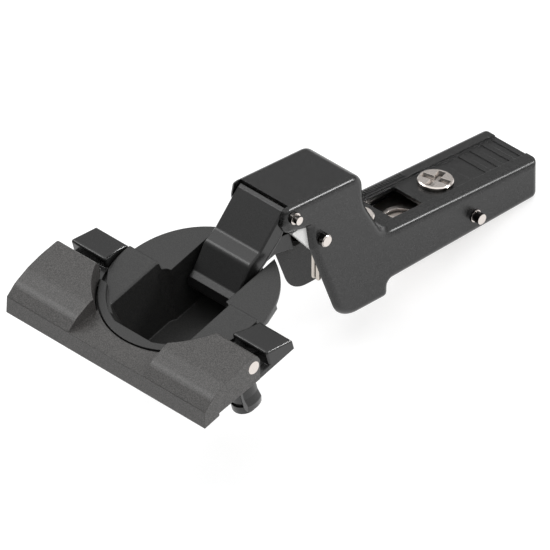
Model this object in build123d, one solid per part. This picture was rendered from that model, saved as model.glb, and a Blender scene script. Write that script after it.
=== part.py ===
"""Concealed cabinet hinge with a 35 mm cup, a folding link pair and a clip-on arm.

Frame: the origin is the centre of the cup boss on the door's face, +Z points out of the
door, +Y points along the open arm and +X runs across the hinge. Everything is in
millimetres, and the hinge is modelled open, with the arm leaning back past a right angle.
"""
import math
import os

from build123d import *

# Clearances shared by all pieces
FIT = 0.05
CLEAR = 0.3
OVERCUT = 1.0

# Half widths across the hinge that the other widths follow
FLAP_HALF = 30.6
ARM_HALF = 8.6
ARM_SIDE_T = 1.3
LINK_GAP = 0.25
LINK_HALF = ARM_HALF - ARM_SIDE_T - LINK_GAP

# Cup pot
BOSS_R = 17.5
CUP_DEPTH = 13.0
BOSS_STRAIGHT = 3.4
SHELL_HALF = 12.9
SHELL_FLOOR_HALF = 9.6
SHELL_REAR_Y = 15.6
SHELL_FLOOR_FRONT_Y = -14.6
SHELL_FLOOR_REAR_Y = 11.2
SHELL_REAR_Z = -9.2
PLATE_R = 19.85
PLATE_STEP = 0.15
FLANGE_R = PLATE_R + PLATE_STEP
FLANGE_T = 0.75
PLATE_TOP = 2.67
PLATE_REAR_Y = 1.7
POCKET_HALF = 11.4
POCKET_FRONT_Y = -16.5
POCKET_CORNER_R = 17.4
POCKET_REAR_Y = 3.4
FLOOR_T = 1.0
POCKET_DRAFT = 3.1
POCKET_RIM = 0.4
RING_T = 1.8
RING_IN_R = PLATE_R - RING_T
RING_TOP = 3.9
RING_END_Y = -9.9
RING_FLARE = 0.5
GROOVE_T = 0.4
GROOVE_DEPTH = 0.6
RELIEF_REAR_X = 19.0
RELIEF_FRONT_X = 15.8
SLOT_GAP = 1.45
SLOT_FLOOR_GAP = 0.45
SLOT_HALF = LINK_HALF + SLOT_GAP
SLOT_FLOOR_HALF = LINK_HALF + SLOT_FLOOR_GAP
SLOT_FRONT_Y = -1.0
SLOT_REAR_Y = 14.2
SLOT_CORNER_R = 2.2
RIM_SLOT_Z = -2.6
FLOOR_RISE_Y = 10.2
FLOOR_RISE_Z = -8.3

# Wing base under the cover flap, and the dowels that fix the cup in the door
DOWEL_INSET = 8.1
DOWEL_X = FLAP_HALF - DOWEL_INSET
DOWEL_Y = -9.5
DOWEL_R = 4.0
WING_T = 1.2
WING_INSET = 2.0
WING_HALF = FLAP_HALF - WING_INSET
WING_FRONT_Y = -20.5
WING_CORNER_R = 3.0

# Dowel moulding with its end block
BLOCK_GAP = 0.45
BLOCK_IN_R = PLATE_R + BLOCK_GAP
BLOCK_INSET = 0.35
BLOCK_OUT_X = FLAP_HALF - BLOCK_INSET
BLOCK_FRONT_Y = -5.9
BLOCK_FRONT_Z = 5.16
BLOCK_REAR_Z = 2.65
BLOCK_REAR_GAP = 0.1
FOOT_FRONT_Y = -9.1
BLOCK_ROUND = 0.6
PAD_TOP = 2.2
PAD_FRONT_Y = -14.2
PAD_LAP = 0.5
PAD_REACH = 4.9
SLEEVE_BORE_R = 3.1
SLEEVE_BOTTOM = -5.2
CLAW_NECK = 2.0
CLAW_TIP_Z = -11.0
CLAW_BULGE_R = 4.6
CLAW_TIP_TAPER = 0.4
CLAW_BULGE_Z = -9.1
CLAW_HALF_Y = 2.1
CORE_R = 2.85
CORE_BOTTOM = -12.65
CORE_TOP = -1.6
CORE_GROOVE = 0.5
CORE_GROOVES = ((-5.9, -7.1), (-9.4, -10.6))
BLADE_T = 2.0
BLADE_W = 2.9
BLADE_ROOT = 0.5
BLADE_SLOT = 0.25

# Cover flap and its crank pins
FLAP_WALL = 1.2
FLAP_END_T = 1.7
FLAP_TOP = 10.0
FLAP_CUT_GAP = 0.75
FLAP_CUT_R = PLATE_R + FLAP_CUT_GAP
RECESS_CUT_R = PLATE_R + CLEAR
FLAP_CUT_WALL = 1.3
FLAP_REAR_Y = -8.0
RECESS_HALF = 11.5
RECESS_TOP = 9.0
RECESS_LINE = ((-25.7, 4.25), (-19.0, 3.55), (-16.0, 3.5))
RECESS_UNDER_Y = -24.4
RECESS_UNDER_Z = 2.4
HOLLOW_FRONT_Y = -21.0
HOLLOW_TOP = 5.0
FLAP_PIN_Y = -10.2
FLAP_PIN_Z = 4.6
FLAP_PIN_R = 1.55
FLAP_NECK_R = 1.1
CRANK_R = 0.9
CRANK_THROW = 0.8
CRANK_ANGLE = 45.0
LUG_R = 1.75
LUG_FOOT = 0.6
LUG_INSET = 4.7
LUG_X = FLAP_HALF - LUG_INSET
LUG_T = 1.8
LUG_GAP = 0.25
BLADE_ROOM = 0.4
CRANK_WEB_T = 1.0
CRANK_WEB_GAP = 0.4
CRANK_END_GAP = 0.2

# Links: pivots in the cup and in the arm
CUP_PIN_A = (8.3, -7.4)
CUP_PIN_B = (10.9, -4.3)
CUP_PIN_A_R = 1.25
CUP_PIN_B_R = 1.5
CUP_PIN_A_HALF = 11.3
CUP_PIN_B_HALF = 13.3
SPOT_FACE_X = 12.7
SPOT_FACE_R = 2.0
ARM_PIN_A = (22.9, 13.75)
ARM_PIN_B = (32.0, 3.58)
ARM_PIN_A_R = 0.9
ARM_PIN_B_R = 1.5
COLLAR_R = 1.4
COLLAR_T = 0.9
PIN_TIP_R = 1.0
RIVET_FLAT = 0.2
PIN_CHAMFER = 0.25
CUP_PIN_CHAMFER = 0.3
LINK_T = 1.45
WEB_CHAMFER = 0.35
HOOK_SWEEP = 112.0
WEB_TOP = [(5.7, -2.8), (7.3, -2.0), (12.3, 2.65), (15.8, 3.6), (24.5, 9.12), (25.4, 9.4)]
WEB_TOP_RADII = [0, 1.0, 2.6, 2.0, 0, 0]
LINK_EYE_A_R = 2.2
LINK_EYE_TOP_R = 1.4
INNER_GAP = 0.3
INNER_HALF = LINK_HALF - LINK_T - INNER_GAP
INNER_TOP_HALF = 2.9
INNER_WIDE_END_Y = 26.0
INNER_EYE_R = 2.45
INNER_TOP_EYE_R = 3.4
OPEN_SLOT_R = 2.1
OPEN_SLOT = (-1.9, 0.3)

# Arm channel, in the arm's own frame (h along the arm, v away from its foot)
OPEN_TILT = 15.05
ARM_WEB_T = 1.6
ARM_EDGE_R = 1.75
ARM_REAR = 100.0
WEB_REAR_V = -8.76
WEB_SLOPE = 4.6
PANEL_HALF = 5.0
PANEL_DEPTH = 0.59
PANEL_SPAN = (55.2, 103.2)
PANEL_MID = 78.2
HEAD_WEB_FRONT = 22.7
HEAD_RELIEF_T = 0.8
WINDOW = (58.1, 67.6)
WINDOW_HALF = 4.6
RIB_SLOTS = ((82.9, 87.7), (89.2, 91.4), (93.1, 95.2), (96.7, 98.5))
RIB_SLOT_HALF = 4.4
RIB_SLOT_DEPTH = 0.2
REAR_PIN = (79.8, -14.0)
REAR_PIN_R = 1.5
REAR_PIN_TIP_R = 1.25
PIN_PROUD = 2.1
THICK_PIN_PROUD = 1.6
REAR_PIN_PROUD = 2.2

# Adjusting plate, screws and clip lever inside the arm
PLATE_GAP = 0.4
PLATE_HALF = ARM_HALF - ARM_SIDE_T - PLATE_GAP
PLATE_SIDE_T = 1.2
PLATE_V = -10.8
PLATE_T = 1.2
PLATE_FRONT = 48.0
PLATE_REAR = 92.0
PLATE_BOTTOM = -18.4
DEPTH_TRAVEL = 2.0
DEPTH_SCREW_H = 76.0
DEPTH_HEAD_R = 4.1
DEPTH_HEAD_T = 1.0
DEPTH_NECK_R = 2.9
DEPTH_DISC_R = 3.9
DEPTH_DISC_T = 0.9
DEPTH_THROW = 2.6
DEPTH_CRANK_R = 1.2
DEPTH_CRANK_BOTTOM = -4.4
DEPTH_CROSS = (6.9, 1.8)
HEAD_CHAMFER = 0.25
SIDE_SCREW_H = 51.6
SIDE_HEAD_R = 3.75
SIDE_HEAD_T = 1.0
SIDE_SHANK_R = 2.0
SIDE_HEAD_V = -4.1
SIDE_SHANK_BOTTOM = -16.0
SIDE_CROSS = (6.0, 1.7)
RIDGE_CENTRE = (1.5, 63.5)
RIDGE_OUT_R = 4.6
RIDGE_IN_R = 3.5
RIDGE_SPAN = (58.5, 68.5)
RIDGE_LEFT_X = -3.2
RIDGE_RISE = 0.8
CROSS_DEPTH = 1.3
CROSS_TAPER = 28.0
CROSS_ANGLE = 18.0
LEVER_PIVOT = (86.5, -14.6)
LEVER_PIVOT_R = 1.1
LEVER_HALF = 4.6
LEVER_EYE_R = 2.1
SPRING_WIRE_R = 0.6
SPRING_COIL_R = 2.45
SPRING_PITCH = 1.3
SPRING_GAP = 0.15
SPRING_IN_X = INNER_TOP_HALF + SPRING_GAP + SPRING_WIRE_R
SPRING_TURNS = 1.0
SPRING_OUT_X = SPRING_IN_X + SPRING_PITCH * SPRING_TURNS
SPRING_LEG_V = (-10.0, 0.5)
CHEEK_GAP = 0.1
CHEEK_IN_X = SPRING_OUT_X + SPRING_WIRE_R + CHEEK_GAP
CHEEK_OUT_X = ARM_HALF - ARM_SIDE_T - CHEEK_GAP


def yz(face, x0, x1):
    """A prism of a profile drawn in the Y-Z plane, from x0 to x1."""
    return extrude(Plane.YZ.offset(x0) * face, amount=x1 - x0)


def yz_both(face, half):
    """A prism of a Y-Z profile that is centred across the hinge."""
    return yz(face, -half, half)


def poly(*points):
    """A flat profile through corner points."""
    return make_face(Polyline(*points, close=True))


def soft_poly(points, radii):
    """A flat profile whose corners are rounded, one radius for each point."""
    return make_face(FilletPolyline(*points, radius=radii, close=True))


def bent_poly(points, radii):
    """A flat profile where only the corners with a radius above zero are rounded."""
    face = poly(*points)
    for (y, z), radius in zip(points, radii):
        if radius > 0:
            corner = face.vertices().sort_by_distance((y, z, 0))[0]
            face = fillet(corner, radius)
    return face


def disc(centre, radius):
    """A round profile at a point of the Y-Z plane."""
    return Pos(centre[0], centre[1]) * Circle(radius)


def slot_between(start, end, radius):
    """A level round-ended slot profile between two points of the Y-Z plane."""
    level = poly((start[0], start[1] - radius), (end[0], end[1] - radius),
                 (end[0], end[1] + radius), (start[0], start[1] + radius))
    return disc(start, radius) + disc(end, radius) + level


def rod(centre, radius, x0, x1):
    """A round bar along X through a point of the Y-Z plane."""
    return yz(disc(centre, radius), x0, x1)


def mirrored(shape):
    """The same shape on the other side of the hinge."""
    return mirror(shape, about=Plane.YZ)


def box(x, y, z):
    """A block between two X, two Y and two Z values."""
    size = [b - a for a, b in (x, y, z)]
    centre = [(a + b) / 2 for a, b in (x, y, z)]
    return Pos(*centre) * Box(*size)


def post(x, y, radius, z0, z1):
    """A round post along Z."""
    return Pos(x, y, (z0 + z1) / 2) * Cylinder(radius, z1 - z0)


def tilted(shape):
    """Leans an arm part back to its open place."""
    return Rot(X=-OPEN_TILT) * shape


def from_arm(point):
    """The row's Y and Z of a point in the arm's own frame."""
    h, v = point
    a = math.radians(OPEN_TILT)
    return (h * math.cos(a) + v * math.sin(a), v * math.cos(a) - h * math.sin(a))


# Cup pot

def bay_outline(grow, front_grow):
    """The front bay's outline, grown or shrunk from its size at the plate's top."""
    front_y = POCKET_FRONT_Y - front_grow
    length = POCKET_REAR_Y + grow - front_y
    face = Rectangle(2 * (POCKET_HALF + grow), length, align=(Align.CENTER, Align.MIN))
    face = Pos(0, front_y) * face & Circle(POCKET_CORNER_R + front_grow)
    return fillet(face.vertices().group_by(Axis.Y)[-1], SLOT_CORNER_R)


def lower_shell():
    """The boxy lower part of the pot, which follows the pocket with a thin wall."""
    shell_top = -BOSS_STRAIGHT + OVERCUT
    front_view = Polyline((-SHELL_HALF, shell_top), (SHELL_HALF, shell_top),
                          (SHELL_FLOOR_HALF, -CUP_DEPTH), (-SHELL_FLOOR_HALF, -CUP_DEPTH),
                          close=True)
    across = extrude(Plane.XZ.offset(-BOSS_R) * make_face(front_view), amount=2 * BOSS_R)
    side_view = poly((-BOSS_R, shell_top), (SHELL_FLOOR_FRONT_Y, -CUP_DEPTH),
                     (SHELL_FLOOR_REAR_Y, -CUP_DEPTH), (SHELL_REAR_Y, SHELL_REAR_Z),
                     (SHELL_REAR_Y, shell_top))
    return across & yz_both(side_view, BOSS_R) & post(0, 0, BOSS_R, -CUP_DEPTH, 0)


def front_ring():
    """The raised ring that closes the pocket in front, clear of the plate beside it."""
    ring = post(0, 0, PLATE_R, 0, RING_TOP)
    ring = ring & box((-PLATE_R, PLATE_R), (-PLATE_R, RING_END_Y), (0, RING_TOP))
    over_plate = post(0, 0, RING_IN_R, PLATE_TOP, RING_TOP + OVERCUT)
    beside = box((SLOT_HALF, PLATE_R), (-PLATE_R, 0), (PLATE_TOP, RING_TOP + OVERCUT))
    room = over_plate & beside
    return ring - room - mirrored(room)


def plate_relief():
    """The groove inside the ring and the cut corner beside the right end block."""
    low = PLATE_TOP - GROOVE_DEPTH
    core = post(0, 0, RING_IN_R - GROOVE_T, low - OVERCUT, RING_TOP + OVERCUT)
    groove = post(0, 0, RING_IN_R, low, RING_TOP) - core
    groove = groove & box((SLOT_HALF, BOSS_R), (-PLATE_R, RING_END_Y), (low, RING_TOP))
    corner = make_face(Polyline((RELIEF_REAR_X, BLOCK_FRONT_Y), (RELIEF_FRONT_X, RING_END_Y),
                                (FLANGE_R, RING_END_Y), (FLANGE_R, BLOCK_FRONT_Y), close=True))
    return groove + extrude(Pos(0, 0, WING_T) * corner, amount=PLATE_TOP)


def pocket():
    """The tapered pocket in the pot: a wide front bay and a narrower bay for the links."""
    floor_z = FLOOR_T - CUP_DEPTH
    top = RING_TOP + 2 * FIT
    rise = top - PLATE_TOP
    rim_z = PLATE_TOP - POCKET_RIM
    rim_face = bay_outline(-POCKET_RIM, -RING_FLARE * POCKET_RIM)
    bay = loft([Pos(0, 0, floor_z) * bay_outline(-POCKET_DRAFT, -POCKET_DRAFT),
                Pos(0, 0, rim_z) * rim_face], ruled=True)
    rim = loft([Pos(0, 0, rim_z) * rim_face,
                Pos(0, 0, top) * bay_outline(rise, RING_FLARE * rise)], ruled=True)

    rear_floor = poly((SLOT_FRONT_Y, top), (SLOT_FRONT_Y, floor_z), (FLOOR_RISE_Y, floor_z),
                      (SLOT_REAR_Y, FLOOR_RISE_Z), (SLOT_REAR_Y, top))
    slot_side = Polyline((-SLOT_HALF, top), (SLOT_HALF, top), (SLOT_HALF, RIM_SLOT_Z),
                         (SLOT_FLOOR_HALF, floor_z), (-SLOT_FLOOR_HALF, floor_z),
                         (-SLOT_HALF, RIM_SLOT_Z), close=True)
    across = extrude(Plane.XZ.offset(-SLOT_REAR_Y) * make_face(slot_side),
                     amount=SLOT_REAR_Y - SLOT_FRONT_Y)
    link_bay = yz_both(rear_floor, SLOT_HALF) & across
    rim_slot = box((-SLOT_HALF, SLOT_HALF), (SLOT_REAR_Y - OVERCUT, FLANGE_R + OVERCUT),
                   (RIM_SLOT_Z, top))
    return bay + rim + link_bay + rim_slot


def wing_base():
    """The thin plate under the cover flap that carries the dowels."""
    length = PLATE_REAR_Y - WING_FRONT_Y
    face = Rectangle(2 * WING_HALF, length, align=(Align.CENTER, Align.MIN))
    face = fillet(face.vertices().group_by(Axis.Y)[0], WING_CORNER_R)
    return extrude(Pos(0, WING_FRONT_Y) * face, amount=WING_T)


def flap_lug():
    """One ear that holds the neck of a crank pin, on the right wing."""
    pin = (FLAP_PIN_Y, FLAP_PIN_Z)
    foot = poly((FLAP_PIN_Y - LUG_R, FLAP_PIN_Z), (FLAP_PIN_Y - 2 * LUG_R, WING_T / 2),
                (FLAP_PIN_Y + LUG_FOOT, WING_T / 2), (FLAP_PIN_Y + LUG_FOOT, FLAP_PIN_Z))
    ear = foot + disc(pin, LUG_R) - disc(pin, FLAP_NECK_R + FIT)
    return yz(ear, LUG_X, LUG_X + LUG_T)


def cup_pot():
    """The drawn pot, its flange, the raised plate round the pocket and the wing base."""
    boss = post(0, 0, BOSS_R, -BOSS_STRAIGHT, FLANGE_T)
    flange = post(0, 0, FLANGE_R, 0, FLANGE_T)
    plate = post(0, 0, PLATE_R, 0, PLATE_TOP)
    front = box((-FLANGE_R, FLANGE_R), (-FLANGE_R, PLATE_REAR_Y), (0, PLATE_TOP))
    plate = (plate & front) - plate_relief() - mirrored(plate_relief())
    pot = boss + lower_shell() + flange + plate + front_ring() + wing_base()
    lug = flap_lug()
    pot = pot + lug + mirrored(lug) - pocket()
    hole = post(DOWEL_X, DOWEL_Y, DOWEL_R + FIT, -OVERCUT, WING_T + OVERCUT)
    pot = pot - hole - mirrored(hole)
    spot = rod(CUP_PIN_B, SPOT_FACE_R, SPOT_FACE_X, BOSS_R + OVERCUT)
    pot = pot - spot - mirrored(spot)
    pot = pot - rod(CUP_PIN_A, CUP_PIN_A_R, -CUP_PIN_A_HALF, CUP_PIN_A_HALF)
    return pot - rod(CUP_PIN_B, CUP_PIN_B_R, -BOSS_R, BOSS_R)


def cup_pin(centre, radius, half):
    """A link pin across the cup with chamfered ends."""
    pin = rod(centre, radius, -half, half)
    return chamfer(pin.edges().filter_by(GeomType.CIRCLE), CUP_PIN_CHAMFER)


# Dowels

def dowel():
    """The right dowel: an end block, a pad over the wing and a claw sleeve below it."""
    rear_y = PLATE_REAR_Y - BLOCK_REAR_GAP
    in_x = DOWEL_X - PAD_REACH
    profile = poly((FOOT_FRONT_Y, 0), (FOOT_FRONT_Y, WING_T), (BLOCK_FRONT_Y, WING_T),
                   (BLOCK_FRONT_Y, BLOCK_FRONT_Z), (rear_y, BLOCK_REAR_Z), (rear_y, 0))
    around_plate = post(0, 0, BLOCK_IN_R, -OVERCUT, BLOCK_FRONT_Z + OVERCUT)
    block = yz(profile, in_x, BLOCK_OUT_X) - around_plate
    top_edges = block.edges().filter_by(lambda e: e.center().Z > BLOCK_REAR_Z - CLEAR
                                        and e.length > 2 * BLOCK_ROUND)
    block = fillet(top_edges, BLOCK_ROUND)
    pad = box((in_x, LUG_X - CLEAR), (PAD_FRONT_Y, BLOCK_FRONT_Y + PAD_LAP), (WING_T, PAD_TOP))
    pad = pad - around_plate
    wing = box((0, WING_HALF + FIT), (WING_FRONT_Y, PLATE_REAR_Y), (-OVERCUT, WING_T))
    body = block + pad - wing

    sleeve = post(DOWEL_X, DOWEL_Y, DOWEL_R, SLEEVE_BOTTOM, PAD_TOP)
    claw = Polyline((DOWEL_R, SLEEVE_BOTTOM), (DOWEL_R, SLEEVE_BOTTOM - CLAW_NECK),
                    (CLAW_BULGE_R, CLAW_BULGE_Z), (CLAW_BULGE_R - CLAW_TIP_TAPER, CLAW_TIP_Z),
                    (SLEEVE_BORE_R, CLAW_TIP_Z), (SLEEVE_BORE_R, SLEEVE_BOTTOM), close=True)
    claws = revolve(Plane.XZ * make_face(claw), Axis.Z)
    claws = claws & box((-CLAW_BULGE_R, CLAW_BULGE_R), (-CLAW_HALF_Y, CLAW_HALF_Y),
                        (CLAW_TIP_Z, SLEEVE_BOTTOM))
    body = body + sleeve + Pos(DOWEL_X, DOWEL_Y, 0) * claws
    return body - post(DOWEL_X, DOWEL_Y, SLEEVE_BORE_R, CLAW_TIP_Z - OVERCUT, PAD_TOP + OVERCUT)


def crank_centre():
    """Where the crank of a flap pin stands with the flap closed."""
    a = math.radians(CRANK_ANGLE)
    return (FLAP_PIN_Y + CRANK_THROW * math.sin(a), FLAP_PIN_Z + CRANK_THROW * math.cos(a))


def expander():
    """The ribbed core in the right dowel and the blade that hangs it on the crank."""
    core = post(DOWEL_X, DOWEL_Y, CORE_R, CORE_BOTTOM, CORE_TOP)
    for top, bottom in CORE_GROOVES:
        groove = post(DOWEL_X, DOWEL_Y, CORE_R + OVERCUT, bottom, top)
        core = core - (groove - post(DOWEL_X, DOWEL_Y, CORE_R - CORE_GROOVE, bottom, top))
    eye = crank_centre()
    hole_r = CRANK_R + 2 * FIT
    root = CORE_TOP - BLADE_ROOT
    blade = poly((DOWEL_Y - BLADE_W / 2, root), (DOWEL_Y + BLADE_W / 2, root),
                 (eye[0] + BLADE_W / 2, eye[1]), (eye[0] - BLADE_W / 2, eye[1]))
    blade = blade + disc(eye, BLADE_W / 2)
    slot_end = (eye[0] + BLADE_SLOT, eye[1])
    slot = slot_between(eye, slot_end, hole_r)
    half = BLADE_T / 2
    return core + yz(blade - slot, DOWEL_X - half, DOWEL_X + half)


# Cover flap

def flap_profile():
    """The end outline of the cover flap."""
    points = [(-27.1, 0.2), (-25.75, 4.3), (-22.65, 6.05), (-18.3, 7.1), (-14.15, 7.45),
              (-8.7, 7.25), (-8.1, 5.4), (-9.4, 0.35), (-22.1, 0.9), (-22.3, 0.2)]
    radii = [0.3, 0.3, 6.0, 8.0, 20.0, 0.9, 0.5, 0.3, 0.1, 0.1]
    return soft_poly(points, radii)


def cover_flap():
    """The hollow cover over the front of the cup, with end walls and a round cut-out."""
    shell = yz_both(flap_profile(), FLAP_HALF)
    inner = offset(flap_profile(), -FLAP_WALL)
    under = poly((HOLLOW_FRONT_Y, -OVERCUT), (HOLLOW_FRONT_Y, 4.6), (-19.0, HOLLOW_TOP),
                 (FLAP_PIN_Y, HOLLOW_TOP), (-8.6, 4.8), (-8.6, -OVERCUT))
    end = FLAP_HALF - FLAP_END_T
    hollow = yz(inner + under, RECESS_HALF + FLAP_WALL, end)
    keep = post(0, 0, FLAP_CUT_R + FLAP_CUT_WALL, PAD_TOP + 2 * CLEAR, FLAP_TOP)
    hollow = hollow + mirrored(hollow) - keep
    room = box((-RECESS_HALF, RECESS_HALF), (RECESS_UNDER_Y, FLAP_REAR_Y),
               (-OVERCUT, RECESS_UNDER_Z))
    room = room + box((-end, end), (HOLLOW_FRONT_Y, FLAP_REAR_Y), (-OVERCUT, WING_T + CLEAR))
    wing_side = box((RECESS_HALF, FLAP_HALF), (-FLAP_HALF, 0), (-OVERCUT, FLAP_TOP))
    cut = post(0, 0, FLAP_CUT_R, -OVERCUT, FLAP_TOP) & (wing_side + mirrored(wing_side))
    cut = cut + post(0, 0, RECESS_CUT_R, -OVERCUT, FLAP_TOP)
    recess = poly(*RECESS_LINE, (RECESS_LINE[-1][0], RECESS_TOP), (-25.75, RECESS_TOP))
    shell = shell - hollow - room - cut - yz_both(recess, RECESS_HALF)
    return shell - flap_pin_room() - mirrored(flap_pin_room())


def flap_pin_room():
    """Space in the right end of the flap for the crank pin, its lug and the blade."""
    pin = (FLAP_PIN_Y, FLAP_PIN_Z)
    journal = rod(pin, FLAP_PIN_R, LUG_X + LUG_T, FLAP_HALF + OVERCUT)
    around = disc(pin, LUG_R + LUG_GAP)
    front_y = FLAP_PIN_Y - LUG_R - LUG_GAP
    rear_y = FLAP_REAR_Y + OVERCUT
    below = poly((front_y, FLAP_PIN_Z), (front_y, -OVERCUT), (rear_y, -OVERCUT),
                 (rear_y, FLAP_PIN_Z), (FLAP_PIN_Y, FLAP_PIN_Z + LUG_R + LUG_GAP),
                 (FLAP_PIN_Y, FLAP_PIN_Z))
    lug_room = yz(around + below, LUG_X - LUG_GAP, LUG_X + LUG_T + LUG_GAP)
    blade_x = DOWEL_X - BLADE_T / 2 - CLEAR
    blade_room = yz(disc(crank_centre(), BLADE_W / 2 + BLADE_ROOM) + below, blade_x, LUG_X)
    blade_room = blade_room + yz(around, blade_x, LUG_X)
    return journal + lug_room + blade_room


def flap_pin():
    """The right crank pin, fast in the flap's end wall."""
    pin = (FLAP_PIN_Y, FLAP_PIN_Z)
    head = rod(pin, FLAP_PIN_R, LUG_X + LUG_T + LUG_GAP, FLAP_HALF)
    web_out = LUG_X - CRANK_WEB_GAP
    neck = rod(pin, FLAP_NECK_R, web_out - CRANK_WEB_T / 2, FLAP_HALF - FLAP_END_T / 2)
    web = yz(disc(pin, FLAP_NECK_R) + disc(crank_centre(), CRANK_R), web_out - CRANK_WEB_T, web_out)
    crank = rod(crank_centre(), CRANK_R, DOWEL_X - BLADE_T / 2 - CRANK_END_GAP,
                web_out - CRANK_WEB_T / 2)
    return head + neck + web + crank


# Links

def outer_flange():
    """The side outline of the outer link, hooked round the other cup pin."""
    top = from_arm(ARM_PIN_A)
    under = [(26.1, 8.3), (top[0] + 1.0, top[1] - 0.95), (22.6, 3.6), (16.6, 0.6), (13.6, -0.6),
             (11.3, -2.0), (9.0, -4.6), CUP_PIN_A, (6.2, -6.6)]
    face = bent_poly(WEB_TOP + under, WEB_TOP_RADII + [0] * len(under))
    face = face + disc(top, LINK_EYE_TOP_R) + disc(CUP_PIN_A, LINK_EYE_A_R)
    reach = math.dist(CUP_PIN_A, CUP_PIN_B)
    start = math.degrees(math.atan2(CUP_PIN_B[1] - CUP_PIN_A[1], CUP_PIN_B[0] - CUP_PIN_A[0]))
    for step in range(13):
        angle = math.radians(start - HOOK_SWEEP * step / 12)
        spot = (CUP_PIN_A[0] + reach * math.cos(angle), CUP_PIN_A[1] + reach * math.sin(angle))
        face = face - disc(spot, CUP_PIN_B_R + CLEAR)
    return face


def outer_web():
    """The side section of the outer link's visible web, with soft bends."""
    under = [(26.1, 8.3), (16.3, 2.1), (12.9, 1.25), (8.2, -3.15), (6.3, -4.1)]
    return bent_poly(WEB_TOP + under, WEB_TOP_RADII + [0] * len(under))


def outer_link():
    """The visible U-shaped link."""
    arm_a = from_arm(ARM_PIN_A)
    side = outer_flange()
    flange = yz(side, LINK_HALF - LINK_T, LINK_HALF)
    rolled = poly((5.7, -2.8), (5.0, -5.2), (6.1, -7.2), CUP_PIN_A, (7.7, -5.0), (7.0, -3.6))
    link = yz_both(outer_web() + rolled, LINK_HALF) + flange + mirrored(flange)
    link = chamfer(link.edges().filter_by(lambda e: abs(abs(e.center().X) - LINK_HALF) < 0.01
                                          and is_web_edge(e.center())), WEB_CHAMFER)
    link = link - rod(CUP_PIN_A, CUP_PIN_A_R + FIT, -ARM_HALF, ARM_HALF)
    return link - rod(arm_a, ARM_PIN_A_R + FIT, -ARM_HALF, ARM_HALF)


def is_web_edge(point):
    """True on the outer edges of the link's web."""
    for (y0, z0), (y1, z1) in zip(WEB_TOP, WEB_TOP[1:]):
        length = math.dist((y0, z0), (y1, z1))
        off = ((point.Y - y0) * (z1 - z0) - (point.Z - z0) * (y1 - y0)) / length
        if abs(off) < 0.02 and y0 - 0.1 <= point.Y <= y1 + 0.1:
            return True
    return False


def inner_link():
    """The hidden link: a bent bar whose arm end has the long open eye."""
    end = from_arm(ARM_PIN_B)
    shifted = (end[0] + OPEN_SLOT[0], end[1] + OPEN_SLOT[1])
    bar = poly((9.3, -2.45), (12.6, -0.6), (16.5, 1.3), (21.5, 1.75), (27.0, -0.2),
               (shifted[0], shifted[1] + INNER_TOP_EYE_R),
               (shifted[0], shifted[1] - INNER_TOP_EYE_R), (25.0, -4.2), (21.0, -2.2),
               (16.8, -2.1), (14.0, -2.2), (13.6, -3.4),
               (12.6, -6.1))
    wide = bar + disc(CUP_PIN_B, INNER_EYE_R) - disc(CUP_PIN_A, CUP_PIN_A_R + CLEAR)
    narrow = bar + disc(shifted, INNER_TOP_EYE_R) + disc(end, INNER_TOP_EYE_R)
    wide_room = box((-INNER_HALF, INNER_HALF), (0, INNER_WIDE_END_Y), (-BOSS_R, BOSS_R))
    wide = yz_both(wide, INNER_HALF) & wide_room
    link = wide + yz_both(narrow, INNER_TOP_HALF)
    link = link - rod(CUP_PIN_B, CUP_PIN_B_R + FIT, -INNER_HALF, INNER_HALF)
    return link - yz_both(slot_between(shifted, end, OPEN_SLOT_R), INNER_HALF)


# Arm channel

def web_top(h):
    """Height of the arm's rim at a distance along the arm."""
    return WEB_REAR_V + (ARM_REAR - h) * math.tan(math.radians(WEB_SLOPE))


def on_web(h, depth=0.0):
    """A place on the arm's sloping web, a depth below its rim."""
    return Pos(0, h, web_top(h) - depth) * Rot(X=-WEB_SLOPE)


def arm_outline():
    """The arm's side outline, with the high head at the front and the foot below it."""
    points = [(22.2, 16.22), (45.0, 14.38), (45.4, 6.2), (51.6, web_top(51.6)),
              (ARM_REAR, WEB_REAR_V), (ARM_REAR, -19.0), (53.1, -18.5), (53.0, -22.5),
              (38.2, -22.0), (29.2, 1.55), (28.2, 7.8), (21.6, 9.5), (19.8, 12.4),
              (20.6, 16.0)]
    radii = [0.6, 3.4, 12.0, 4.5, 0.5, 1.8, 1.2, 1.2, 7.5, 0.3, 0.4, 1.6, 1.6, 0.8]
    return soft_poly(points, radii)


def on_arm_top(edge):
    """True on the long outer edges of the arm's head and web."""
    c = edge.center()
    if abs(abs(c.X) - ARM_HALF) > 0.01 or c.Y < 21.4:
        return False
    return c.Z > 13.0 or (c.Y > 44.0 and c.Z > web_top(c.Y) - 0.4)


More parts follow.
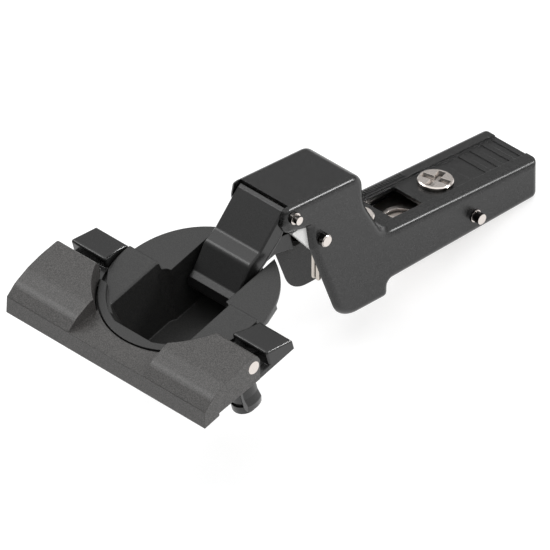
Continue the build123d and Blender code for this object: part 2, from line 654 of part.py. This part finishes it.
def arm_channel():
    """The cranked black arm: a folded channel with adjusting holes in its web."""
    shell = yz_both(arm_outline(), ARM_HALF)
    shell = fillet(shell.edges().filter_by(on_arm_top), ARM_EDGE_R)
    inner = offset(arm_outline(), -ARM_WEB_T)
    half = ARM_HALF - ARM_SIDE_T
    room = yz_both(inner, half)
    for step in range(1, 6):
        room = room + Pos(0, 0, -1.5 * step) * yz_both(inner, half)
        room = room + Pos(0, -1.5 * step, -1.5 * step) * yz_both(inner, half)
    rear = box((-half, half), (ARM_REAR - 4, ARM_REAR + 1), (-30, web_top(ARM_REAR) - ARM_WEB_T))
    front = box((-half, half), (10, HEAD_WEB_FRONT), (-30, 30))
    relief = Pos(0, 20, 16.4) * Rot(X=-WEB_SLOPE)
    relief = relief * box((-half, half), (0, 9), (-6, -HEAD_RELIEF_T))
    shell = shell - room - rear - front - relief

    reach = (PANEL_SPAN[0] - PANEL_MID, PANEL_SPAN[1] - PANEL_MID)
    panel = box((-PANEL_HALF, PANEL_HALF), reach, (-PANEL_DEPTH, 5))
    shell = shell - on_web(PANEL_MID) * panel
    window = box((-WINDOW_HALF, WINDOW_HALF), WINDOW, (-12, 5))
    shell = shell - window
    for h0, h1 in RIB_SLOTS:
        mid = (h0 + h1) / 2
        cut = box((-RIB_SLOT_HALF, RIB_SLOT_HALF), (h0 - mid, h1 - mid),
                  (-PANEL_DEPTH - RIB_SLOT_DEPTH, 1))
        shell = shell - on_web(mid) * cut
    shell = shell - on_web(DEPTH_SCREW_H) * post(0, 0, DEPTH_NECK_R + FIT, -9, 9)
    seat = SIDE_HEAD_V - SIDE_HEAD_T - FIT
    shell = shell - post(0, SIDE_SCREW_H, SIDE_HEAD_R + CLEAR, seat, 8)
    shell = shell - post(0, SIDE_SCREW_H, SIDE_SHANK_R + FIT, -12, 0)
    shell = shell - rod(ARM_PIN_A, ARM_PIN_A_R, -ARM_HALF, ARM_HALF)
    shell = shell - rod(ARM_PIN_B, ARM_PIN_B_R, -ARM_HALF, ARM_HALF)
    return shell - rod(REAR_PIN, REAR_PIN_R + FIT, -ARM_HALF, ARM_HALF)


def arm_pin_a():
    """The link pin in the head: a flat rivet end on the left, a collar and a tip on the right."""
    pin = rod(ARM_PIN_A, ARM_PIN_A_R, -ARM_HALF - RIVET_FLAT, ARM_HALF)
    collar = rod(ARM_PIN_A, COLLAR_R, ARM_HALF, ARM_HALF + COLLAR_T)
    return pin + collar + rod(ARM_PIN_A, PIN_TIP_R, ARM_HALF, ARM_HALF + PIN_PROUD)


def arm_pin_b():
    """The thick link pin in the head."""
    out = ARM_HALF + THICK_PIN_PROUD
    pin = rod(ARM_PIN_B, ARM_PIN_B_R, -out, out)
    return chamfer(pin.edges().filter_by(GeomType.CIRCLE), PIN_CHAMFER)


def rear_pin():
    """The pin that guides the adjusting plate, with thin tips outside the arm."""
    out = ARM_HALF + REAR_PIN_PROUD
    body = rod(REAR_PIN, REAR_PIN_R, -ARM_HALF - CLEAR, ARM_HALF + CLEAR)
    return body + rod(REAR_PIN, REAR_PIN_TIP_R, -out, out)


def spring_coil():
    """The coil of the right closing spring, round the thick link pin."""
    path = Helix(pitch=SPRING_PITCH, height=SPRING_PITCH * SPRING_TURNS, radius=SPRING_COIL_R)
    start = Plane(origin=path @ 0, z_dir=path % 0)
    coil = sweep(start * Circle(SPRING_WIRE_R), path=path)
    return Pos(SPRING_IN_X, ARM_PIN_B[0], ARM_PIN_B[1]) * Rot(Y=90) * coil


def spring_leg(x, v_end):
    """One straight leg of a spring, rounded at its end."""
    h = ARM_PIN_B[0] + SPRING_COIL_R
    top = ARM_PIN_B[1]
    leg = post(x, h, SPRING_WIRE_R, v_end, top)
    return leg + Pos(x, h, v_end) * Sphere(SPRING_WIRE_R)


def closing_spring(leg_end):
    """The right closing spring: a coil and two legs that reach down to leg_end."""
    legs = spring_leg(SPRING_IN_X, leg_end) + spring_leg(SPRING_OUT_X, leg_end)
    return spring_coil() + legs


def guide_cheek():
    """The light plastic cheek between the right side plate and the inner link."""
    face = soft_poly([(24.0, 8.0), (30.9, -0.3), (35.2, 0.0), (35.6, 6.6), (30.0, 8.8)],
                     [0.2, 0.5, 1.0, 1.5, 1.0])
    return yz(face - disc(ARM_PIN_B, ARM_PIN_B_R), CHEEK_IN_X, CHEEK_OUT_X)


# Adjusting plate, screws and clip lever

def cross_recess(length, width):
    """A cross recess that narrows with its depth, its top at z = 0."""
    bar = extrude(Rectangle(length, width), amount=-CROSS_DEPTH, taper=CROSS_TAPER)
    return Rot(Z=CROSS_ANGLE) * (bar + Rot(Z=90) * bar)


def adjusting_plate():
    """The nickel plate in the arm that clips on the mounting plate."""
    side_face = soft_poly([(PLATE_FRONT, PLATE_V), (PLATE_REAR + 3, PLATE_V),
                           (PLATE_REAR + 3, -17.0), (PLATE_REAR - 8, PLATE_BOTTOM),
                           (PLATE_FRONT, PLATE_BOTTOM)], [0.5, 2.0, 1.5, 1.0, 3.0])
    side = yz(side_face, PLATE_HALF - PLATE_SIDE_T, PLATE_HALF)
    top = box((-PLATE_HALF, PLATE_HALF), (PLATE_FRONT + 1, PLATE_REAR - 4),
              (PLATE_V - PLATE_T, PLATE_V))
    plate = side + mirrored(side) + top
    slot = slot_between((REAR_PIN[0] - DEPTH_TRAVEL, REAR_PIN[1]),
                        (REAR_PIN[0] + DEPTH_TRAVEL, REAR_PIN[1]), REAR_PIN_R + FIT)
    plate = plate - yz_both(slot, PLATE_HALF)
    crank_w = DEPTH_CRANK_R + 0.25
    crank_h = DEPTH_SCREW_H + (PLATE_V + 7.7) * math.sin(math.radians(WEB_SLOPE))
    plate = plate - box((-0.2, 4.6), (crank_h - crank_w, crank_h + crank_w), (-13.5, -9))
    fork = SIDE_SHANK_R + CLEAR
    fork_end = SIDE_SCREW_H + DEPTH_TRAVEL + fork
    plate = plate - box((-fork, fork), (PLATE_FRONT, fork_end), (-13.5, -9))
    ridge_top = PLATE_V + RIDGE_RISE
    ridge = post(*RIDGE_CENTRE, RIDGE_OUT_R, PLATE_V - PLATE_T / 2, ridge_top)
    ridge = ridge - post(*RIDGE_CENTRE, RIDGE_IN_R, PLATE_V - PLATE_T, ridge_top)
    plate = plate + (ridge & box((RIDGE_LEFT_X, PLATE_HALF), RIDGE_SPAN, (PLATE_BOTTOM, 0)))
    return plate - rod(LEVER_PIVOT, LEVER_PIVOT_R, -PLATE_HALF, PLATE_HALF)


def depth_screw():
    """The depth screw: a cross head on the web and a crank in the plate's slot."""
    top = DEPTH_HEAD_T
    head = post(0, 0, DEPTH_HEAD_R, 0, top)
    head = chamfer(head.edges().group_by(Axis.Z)[-1], HEAD_CHAMFER)
    screw = head - Pos(0, 0, top) * cross_recess(*DEPTH_CROSS)
    disc_top = PANEL_DEPTH - ARM_WEB_T - FIT
    screw = screw + post(0, 0, DEPTH_NECK_R, disc_top - DEPTH_DISC_T, 0.1)
    screw = screw + post(0, 0, DEPTH_DISC_R, disc_top - DEPTH_DISC_T, disc_top)
    screw = screw + post(DEPTH_THROW, 0, DEPTH_CRANK_R, DEPTH_CRANK_BOTTOM, disc_top)
    return on_web(DEPTH_SCREW_H, PANEL_DEPTH) * screw


def side_screw():
    """The side screw: a cross head in the web and a shank in the plate."""
    head = post(0, 0, SIDE_HEAD_R, -SIDE_HEAD_T, 0)
    head = chamfer(head.edges().group_by(Axis.Z)[-1], HEAD_CHAMFER) - cross_recess(*SIDE_CROSS)
    shank = post(0, 0, SIDE_SHANK_R, SIDE_SHANK_BOTTOM - SIDE_HEAD_V, -SIDE_HEAD_T + 0.1)
    return Pos(0, SIDE_SCREW_H, SIDE_HEAD_V) * (head + shank)


def clip_lever():
    """The sprung release lever: a hook below the arm and a thumb tab at its rear."""
    hook = soft_poly([(85.2, -13.2), (88.5, -12.7), (98.2, -14.4), (98.2, -16.2),
                      (89.5, -15.9), (87.2, -17.4), (85.6, -18.2), (83.6, -18.2),
                      (83.6, -16.9), (84.6, -16.2)],
                     [0.6, 1.5, 0.6, 0.6, 1.0, 0.6, 0.5, 0.4, 0.4, 0.3])
    lever = yz_both(hook + disc(LEVER_PIVOT, LEVER_EYE_R), LEVER_HALF)
    return lever - rod(LEVER_PIVOT, LEVER_PIVOT_R + FIT, -LEVER_HALF, LEVER_HALF)


def lever_pin():
    """The rivet that carries the clip lever in the adjusting plate."""
    return rod(LEVER_PIVOT, LEVER_PIVOT_R, -PLATE_HALF, PLATE_HALF)


def save(name, shape):
    """Writes one piece as a STEP file."""
    export_step(shape, os.path.join("parts", name + ".step"))


def main():
    """Builds and writes every piece."""
    os.makedirs("parts", exist_ok=True)
    save("cup_pot", cup_pot())
    save("cup_pin_outer_link", cup_pin(CUP_PIN_A, CUP_PIN_A_R, CUP_PIN_A_HALF))
    save("cup_pin_inner_link", cup_pin(CUP_PIN_B, CUP_PIN_B_R, CUP_PIN_B_HALF))
    for name, shape in (("dowel", dowel()), ("expander", expander()), ("flap_pin", flap_pin())):
        save(name + "_right", shape)
        save(name + "_left", mirrored(shape))
    save("cover_flap", cover_flap())
    save("outer_link", outer_link())
    save("inner_link", inner_link())
    save("arm_channel", tilted(arm_channel()))
    save("arm_pin_outer_link", tilted(arm_pin_a()))
    save("arm_pin_inner_link", tilted(arm_pin_b()))
    save("rear_pin", tilted(rear_pin()))
    save("closing_spring_right", tilted(closing_spring(SPRING_LEG_V[0])))
    save("closing_spring_left", tilted(mirrored(closing_spring(SPRING_LEG_V[1]))))
    save("guide_cheek_right", tilted(guide_cheek()))
    save("guide_cheek_left", tilted(mirrored(guide_cheek())))
    save("adjusting_plate", tilted(adjusting_plate()))
    save("depth_screw", tilted(depth_screw()))
    save("side_screw", tilted(side_screw()))
    save("clip_lever", tilted(clip_lever()))
    save("lever_pin", tilted(lever_pin()))


main()
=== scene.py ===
"""Looks of the concealed cabinet hinge: materials, small details, light and camera."""
import math

import bmesh
import bpy
from mathutils import Matrix, Vector


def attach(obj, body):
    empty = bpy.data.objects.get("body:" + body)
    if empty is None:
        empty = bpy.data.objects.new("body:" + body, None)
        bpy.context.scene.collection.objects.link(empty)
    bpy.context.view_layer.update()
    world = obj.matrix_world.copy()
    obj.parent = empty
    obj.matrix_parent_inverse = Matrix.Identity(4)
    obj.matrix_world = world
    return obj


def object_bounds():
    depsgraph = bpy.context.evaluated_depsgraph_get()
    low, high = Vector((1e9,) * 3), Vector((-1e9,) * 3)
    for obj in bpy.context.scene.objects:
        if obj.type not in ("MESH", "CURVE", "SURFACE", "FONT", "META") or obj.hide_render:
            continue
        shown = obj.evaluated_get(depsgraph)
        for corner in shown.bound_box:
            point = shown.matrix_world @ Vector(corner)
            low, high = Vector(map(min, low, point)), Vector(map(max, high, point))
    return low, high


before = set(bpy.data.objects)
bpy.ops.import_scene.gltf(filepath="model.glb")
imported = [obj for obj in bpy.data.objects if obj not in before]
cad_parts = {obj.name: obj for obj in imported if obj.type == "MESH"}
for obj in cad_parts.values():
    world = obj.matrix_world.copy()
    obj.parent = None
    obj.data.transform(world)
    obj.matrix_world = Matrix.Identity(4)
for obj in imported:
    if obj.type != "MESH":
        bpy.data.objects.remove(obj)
CAD_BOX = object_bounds()

MM = 0.001
WHITE = (1.0, 1.0, 1.0, 1.0)

# The camera stands where the photograph's did: a long lens, looking down on the cup side
VIEW_BACK = Vector((0.5774, -0.4076, 0.7075)).normalized()
VIEW_UP = Vector((-0.4082, 0.6063, 0.6825)).normalized()
VIEW_TARGET = Vector((11.146, 15.274, -0.296)) * MM
VIEW_WIDTH = 119.57 * MM
SENSOR_MM = 36.0
LENS_MM = 1000.0
CLIP_NEAR = 0.01
CLIP_FAR = 20.0

# The pale floor: its side in metres, and the gap that keeps it clear of the hinge
FLOOR_SIZE = 8.0
FLOOR_GAP = 0.05 * MM
FLOOR_COLOUR = (0.55, 0.55, 0.55)
FLOOR_ROUGHNESS = 0.9
FLOOR_GLOW = 0.56

# The surroundings: bright behind the hinge, dim in front of it and down to the horizon.
# Both fades are spans of a direction's Y and Z.
WORLD_BACK = 1.45
WORLD_FRONT = 0.52
WORLD_FADE = (-0.62, -0.18)
HORIZON_DIM = 0.15
HORIZON_FADE = (0.10, 0.75)

# Small strong lights that draw the bright lines and bands along rounded forms:
# name, place and width in metres, power in watts
LIGHTS = (
    ("edge_back", (0.46, 0.66, 0.28), 0.10, 2.6),
    ("edge_left", (-0.70, -0.10, 0.45), 0.12, 0.6),
    ("band_front", (-0.52, -0.16, 0.71), 0.18, 0.75),
)

# Shared values of all finishes: smoothness of the edges, fineness of the grain, and the
# part of the grain over which a speckle goes from dark to light
EDGE_SAMPLES = 6
GRAIN_DETAIL = 3.0
SPECKLE_SPAN = (0.38, 0.66)

# Shared values of the metals: size and depth of the mottling, reach and darkness of the
# painted shade in recesses, and the colour and limits of the painted shade round a pin's
# side
MOTTLE_MM = 0.6
MOTTLE_SHADE = 0.88
RECESS_MM = 1.2
RECESS_SAMPLES = 8
RECESS_SPAN = (0.50, 0.95)
# Darkness of the painted shade in recesses, as a share of the metal's colour
PAINTED_RECESS_SHADE = 0.12
# Colour of the painted shade round a pin's side
PIN_SIDE_PAINTED_SHADE = (0.045, 0.042, 0.040)
PIN_FACE_SPAN = (0.55, 0.80)

# Places of a Mix node's sockets when it mixes colours
MIX_AMOUNT = 0
MIX_FIRST = 6
MIX_SECOND = 7
MIX_RESULT = 2

# Fine ribs on the far rim of the arm's web, in the arm's own frame (degrees and mm)
OPEN_TILT = 15.05
WEB_SLOPE = 4.6
ARM_REAR = 100.0
WEB_REAR_V = -8.76
RIB_SPAN = (56.0, 72.4)
RIB_PITCH = 0.82
RIB_LENGTH = 0.46
RIB_ACROSS = (-6.9, -5.5)
RIB_RISE = 0.35
RIB_SINK = 0.02
RIB_FACETS = 6

# The rolled lower edge of the visible link's flanges: Y and Z in the hinge's frame (mm)
LIP_PATH = (
    (24.6, 5.5), (22.4, 3.1), (19.6, 1.5),
    (16.6, 0.0), (13.7, -1.1), (12.1, -1.9),
)
LIP_X = 6.3
LIP_R = 0.74
LIP_ORDER = 3
LIP_STEPS = 6
LIP_ROUNDNESS = 4

# The finish of each CAD node, by the short names in all_materials
NODE_FINISH = {
    "cup_pot": "cup",
    "cup_pin_outer_link": "pin",
    "cup_pin_inner_link": "pin",
    "dowel_left": "knob",
    "dowel_right": "knob",
    "expander_left": "core",
    "expander_right": "core",
    "cover_flap": "flap",
    "flap_pin_left": "pin",
    "flap_pin_right": "pin",
    "outer_link": "link",
    "inner_link": "link",
    "arm_channel": "arm",
    "arm_pin_outer_link": "pin",
    "arm_pin_inner_link": "pin",
    "closing_spring_left": "wire",
    "closing_spring_right": "wire",
    "guide_cheek_left": "cheek",
    "guide_cheek_right": "cheek",
    "rear_pin": "pin",
    "adjusting_plate": "plate",
    "lever_pin": "pin",
    "depth_screw": "screw",
    "side_screw": "screw",
    "clip_lever": "plate",
}


def shader_of(material):
    """The material's main shader."""
    return material.node_tree.nodes["Principled BSDF"]


def principled(name, colour, roughness, metallic=0.0, specular=0.5):
    """A material with constant values set on the shader's own sockets."""
    material = bpy.data.materials.new(name)
    material.use_nodes = True
    shader = shader_of(material)
    shader.inputs["Base Color"].default_value = (*colour, 1.0)
    shader.inputs["Roughness"].default_value = roughness
    shader.inputs["Metallic"].default_value = metallic
    shader.inputs["Specular IOR Level"].default_value = specular
    return material


def colour_from(material, output):
    """Gives the material its colour from an output."""
    material.node_tree.links.new(output, shader_of(material).inputs["Base Color"])


def remap(tree, value, span, low=0.0, high=1.0):
    """Maps a span of a value on the range from low to high; returns the node."""
    node = tree.nodes.new("ShaderNodeMapRange")
    node.inputs["From Min"].default_value = span[0]
    node.inputs["From Max"].default_value = span[1]
    node.inputs["To Min"].default_value = low
    node.inputs["To Max"].default_value = high
    tree.links.new(value, node.inputs["Value"])
    return node


def soften_edges(material, radius_mm, bump_from=None, bump_mm=0.0):
    """Rounds the look of sharp edges, and adds a fine relief where one is given."""
    nodes = material.node_tree.nodes
    links = material.node_tree.links
    bevel = nodes.new("ShaderNodeBevel")
    bevel.samples = EDGE_SAMPLES
    bevel.inputs["Radius"].default_value = radius_mm * MM
    normal = bevel.outputs["Normal"]
    if bump_from is not None:
        bump = nodes.new("ShaderNodeBump")
        bump.inputs["Distance"].default_value = bump_mm * MM
        bump.inputs["Strength"].default_value = 1.0
        links.new(bump_from, bump.inputs["Height"])
        links.new(normal, bump.inputs["Normal"])
        normal = bump.outputs["Normal"]
    links.new(normal, shader_of(material).inputs["Normal"])


def grain(material, size_mm):
    """A fine noise in object space; returns its output."""
    nodes = material.node_tree.nodes
    place = nodes.new("ShaderNodeTexCoord")
    noise = nodes.new("ShaderNodeTexNoise")
    noise.inputs["Scale"].default_value = 1.0 / (size_mm * MM)
    noise.inputs["Detail"].default_value = GRAIN_DETAIL
    material.node_tree.links.new(place.outputs["Object"], noise.inputs["Vector"])
    return noise.outputs["Fac"]


def two_tone(material, amount, first, second, span=(0.0, 1.0)):
    """Two colours, faded over a span of an amount; returns the colour's output."""
    ramp = material.node_tree.nodes.new("ShaderNodeValToRGB")
    for stop, position, colour in zip(ramp.color_ramp.elements, span, (first, second)):
        stop.position = position
        stop.color = (*colour, 1.0)
    material.node_tree.links.new(amount, ramp.inputs["Fac"])
    return ramp.outputs["Color"]


def speckled(name, dark, light, roughness, grain_mm, bump_mm, edge_mm, specular=0.5):
    """A painted or moulded surface with a fine two-tone speckle."""
    material = principled(name, dark, roughness, specular=specular)
    fine = grain(material, grain_mm)
    colour_from(material, two_tone(material, fine, dark, light, SPECKLE_SPAN))
    soften_edges(material, edge_mm, fine, bump_mm)
    return material


def shaded(colour, share):
    """A colour at a share of its brightness."""
    return [channel * share for channel in colour]


def metal(name, colour, roughness, edge_mm, dark, unshaded_share_of):
    """A mottled metal mixed with a painted shade colour by an amount from 0 (painted
    shade) to 1 (its own colour).
    """
    material = principled(name, colour, roughness, metallic=1.0)
    tree = material.node_tree
    amount = unshaded_share_of(tree)
    fine = grain(material, MOTTLE_MM)
    bright = two_tone(material, fine, shaded(colour, MOTTLE_SHADE), colour)
    mix = tree.nodes.new("ShaderNodeMix")
    mix.data_type = "RGBA"
    # The painted shade colour, shown where the amount falls towards 0
    mix.inputs[MIX_FIRST].default_value = (*dark, 1.0)
    tree.links.new(amount, mix.inputs[MIX_AMOUNT])
    tree.links.new(bright, mix.inputs[MIX_SECOND])
    colour_from(material, mix.outputs[MIX_RESULT])
    soften_edges(material, edge_mm)
    return material


def recess_shade_mask(tree):
    """0 in a recess and 1 on an open face, the mask of the painted recess shade; returns
    the output.
    """
    depth = tree.nodes.new("ShaderNodeAmbientOcclusion")
    depth.samples = RECESS_SAMPLES
    depth.inputs["Distance"].default_value = RECESS_MM * MM
    return remap(tree, depth.outputs["AO"], RECESS_SPAN).outputs["Result"]


def pin_side_shade_mask(tree):
    """1 on faces across the pin's own axis and 0 round its side, where painted shade goes;
    returns the output.
    """
    facing = tree.nodes.new("ShaderNodeTexCoord")
    split = tree.nodes.new("ShaderNodeSeparateXYZ")
    size = tree.nodes.new("ShaderNodeMath")
    size.operation = "ABSOLUTE"
    tree.links.new(facing.outputs["Normal"], split.inputs["Vector"])
    tree.links.new(split.outputs["X"], size.inputs[0])
    return remap(tree, size.outputs["Value"], PIN_FACE_SPAN).outputs["Result"]


def plated_with_painted_shade(name, colour, roughness, edge_mm):
    """Nickel plating with painted shade darkening its recesses."""
    return metal(name, colour, roughness, edge_mm, shaded(colour, PAINTED_RECESS_SHADE), recess_shade_mask)


def pin_metal_with_painted_side_shade(name, colour, roughness, edge_mm):
    """A cross pin: its own colour at its end faces, with a painted dark reflection and
    shade round its side.
    """
    return metal(name, colour, roughness, edge_mm, PIN_SIDE_PAINTED_SHADE, pin_side_shade_mask)


def all_materials():
    """Every finish of the hinge, by its short name."""
    return {
        "cup": speckled(
            "cup_black", dark=(0.009, 0.009, 0.009), light=(0.026, 0.026, 0.025),
            roughness=0.36, grain_mm=0.26, bump_mm=0.006, edge_mm=0.35),
        "flap": speckled(
            "flap_grey", dark=(0.023, 0.0219, 0.0211), light=(0.084, 0.0800, 0.0768),
            roughness=0.36, grain_mm=0.24, bump_mm=0.010, edge_mm=0.15),
        "knob": speckled(
            "dowel_gloss", dark=(0.006, 0.006, 0.006), light=(0.012, 0.012, 0.012),
            roughness=0.20, grain_mm=0.22, bump_mm=0.003, edge_mm=0.30),
        "core": speckled(
            "core_plastic", dark=(0.010, 0.010, 0.010), light=(0.020, 0.020, 0.020),
            roughness=0.30, grain_mm=0.25, bump_mm=0.003, edge_mm=0.15),
        "link": speckled(
            "link_black", dark=(0.005, 0.005, 0.005), light=(0.014, 0.014, 0.014),
            roughness=0.28, grain_mm=0.26, bump_mm=0.006, edge_mm=0.25, specular=0.44),
        "arm": speckled(
            "arm_black", dark=(0.002, 0.002, 0.002), light=(0.022, 0.022, 0.022),
            roughness=0.27, grain_mm=0.30, bump_mm=0.003, edge_mm=0.12, specular=0.40),
        "pin": pin_metal_with_painted_side_shade(
            "nickel_pin", (0.72, 0.665, 0.625), roughness=0.20, edge_mm=0.10),
        "screw": plated_with_painted_shade(
            "nickel_screw", (0.70, 0.645, 0.605), roughness=0.22, edge_mm=0.10),
        "plate": plated_with_painted_shade(
            "nickel_plate", (0.74, 0.685, 0.645), roughness=0.28, edge_mm=0.12),
        "wire": plated_with_painted_shade(
            "spring_wire", (0.60, 0.55, 0.50), roughness=0.30, edge_mm=0.05),
        "cheek": speckled(
            "light_plastic", dark=(0.62, 0.62, 0.61), light=(0.70, 0.70, 0.69),
            roughness=0.30, grain_mm=0.3, bump_mm=0.002, edge_mm=0.15),
    }


def paint_nodes(materials):
    """Puts the finishes on the CAD nodes."""
    for node, finish in NODE_FINISH.items():
        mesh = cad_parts[node].data
        mesh.materials.clear()
        mesh.materials.append(materials[finish])


def place_object(name, data):
    """An object made from its data and put in the scene."""
    item = bpy.data.objects.new(name, data)
    bpy.context.collection.objects.link(item)
    return item


def to_row(x, h, v):
    """A point of the arm's own frame in the open hinge's frame, in metres."""
    tilt = math.radians(OPEN_TILT)
    y = h * math.cos(tilt) + v * math.sin(tilt)
    z = v * math.cos(tilt) - h * math.sin(tilt)
    return Vector((x, y, z)) * MM


def rim_height(h):
    """Height of the arm's rim at a distance along the arm."""
    return WEB_REAR_V + (ARM_REAR - h) * math.tan(math.radians(WEB_SLOPE))


def add_rim_ribs(material):
    """A row of small rounded ribs on the far rim, beside the window."""
    mesh = bpy.data.meshes.new("rim_ribs")
    form = bmesh.new()
    count = int((RIB_SPAN[1] - RIB_SPAN[0]) / RIB_PITCH)
    for step in range(count):
        h = RIB_SPAN[0] + step * RIB_PITCH
        rings = []
        for x in RIB_ACROSS:
            ring = []
            for part in range(RIB_FACETS + 1):
                turn = math.pi * part / RIB_FACETS
                along = h + RIB_LENGTH * (1 - math.cos(turn)) / 2
                rise = rim_height(along) - RIB_SINK + RIB_RISE * math.sin(turn)
                ring.append(form.verts.new(to_row(x, along, rise)))
            rings.append(ring)
        near, far = rings
        for part in range(RIB_FACETS):
            form.faces.new((near[part], near[part + 1], far[part + 1], far[part]))
        form.faces.new(near)
        form.faces.new(far)
        form.faces.new((near[0], far[0], far[-1], near[-1]))
    bmesh.ops.recalc_face_normals(form, faces=form.faces)
    form.to_mesh(mesh)
    form.free()
    mesh.materials.append(material)
    ribs = place_object("rim_ribs", mesh)
    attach(ribs, "arm")


def add_link_lip(name, x, material):
    """The rolled lower edge of one flange of the visible link."""
    data = bpy.data.curves.new(name, "CURVE")
    data.dimensions = "3D"
    data.bevel_depth = LIP_R * MM
    data.bevel_resolution = LIP_ROUNDNESS
    data.use_fill_caps = True
    data.resolution_u = LIP_STEPS
    line = data.splines.new("NURBS")
    line.points.add(len(LIP_PATH) - 1)
    for point, (y, z) in zip(line.points, LIP_PATH):
        point.co = (x * MM, y * MM, z * MM, 1.0)
    line.order_u = LIP_ORDER
    line.use_endpoint_u = True
    data.materials.append(material)
    lip = place_object(name, data)
    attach(lip, "outer_link")


def add_floor():
    """A plain pale floor under the lowest point of the hinge."""
    height = min(corner[2] for corner in CAD_BOX) - FLOOR_GAP
    bpy.ops.mesh.primitive_plane_add(size=FLOOR_SIZE, location=(0.0, 0.0, height))
    floor = bpy.context.object
    floor.name = "floor"
    material = principled("floor_pale", FLOOR_COLOUR, FLOOR_ROUGHNESS)
    shader = shader_of(material)
    shader.inputs["Emission Color"].default_value = WHITE
    shader.inputs["Emission Strength"].default_value = FLOOR_GLOW
    floor.data.materials.append(material)


def add_world():
    """Soft surroundings that fade to dim in front of the hinge and at the horizon."""
    world = bpy.data.worlds.new("studio")
    world.use_nodes = True
    tree = world.node_tree
    background = tree.nodes["Background"]
    background.inputs["Color"].default_value = WHITE
    place = tree.nodes.new("ShaderNodeTexCoord")
    split = tree.nodes.new("ShaderNodeSeparateXYZ")
    tree.links.new(place.outputs["Generated"], split.inputs["Vector"])
    fade = remap(tree, split.outputs["Y"], WORLD_FADE, WORLD_FRONT, WORLD_BACK)
    fade.interpolation_type = "SMOOTHSTEP"
    rise = remap(tree, split.outputs["Z"], HORIZON_FADE, HORIZON_DIM)
    both = tree.nodes.new("ShaderNodeMath")
    both.operation = "MULTIPLY"
    tree.links.new(fade.outputs["Result"], both.inputs[0])
    tree.links.new(rise.outputs["Result"], both.inputs[1])
    tree.links.new(both.outputs["Value"], background.inputs["Strength"])
    bpy.context.scene.world = world


def add_light(name, place, width, power):
    """A square soft light that faces the middle of the view."""
    data = bpy.data.lights.new(name, "AREA")
    data.shape = "SQUARE"
    data.size = width
    data.energy = power
    light = place_object(name, data)
    light.location = place
    facing = VIEW_TARGET - Vector(place)
    light.rotation_euler = facing.to_track_quat("-Z", "Y").to_euler()


def add_camera():
    """The photograph's long-lens view."""
    data = bpy.data.cameras.new("camera")
    data.sensor_width = SENSOR_MM
    data.lens = LENS_MM
    data.clip_start = CLIP_NEAR
    data.clip_end = CLIP_FAR
    camera = place_object("camera", data)
    distance = VIEW_WIDTH * LENS_MM / SENSOR_MM
    right = VIEW_UP.cross(VIEW_BACK).normalized()
    up = VIEW_BACK.cross(right).normalized()
    turn = Matrix((right, up, VIEW_BACK)).transposed().to_4x4()
    camera.matrix_world = Matrix.Translation(VIEW_TARGET + VIEW_BACK * distance) @ turn
    bpy.context.scene.camera = camera


bpy.context.scene.view_settings.view_transform = "Standard"
finishes = all_materials()
paint_nodes(finishes)
add_rim_ribs(finishes["knob"])
add_link_lip("link_lip_right", LIP_X, finishes["link"])
add_link_lip("link_lip_left", -LIP_X, finishes["link"])
add_floor()
add_world()
for light_values in LIGHTS:
    add_light(*light_values)
add_camera()
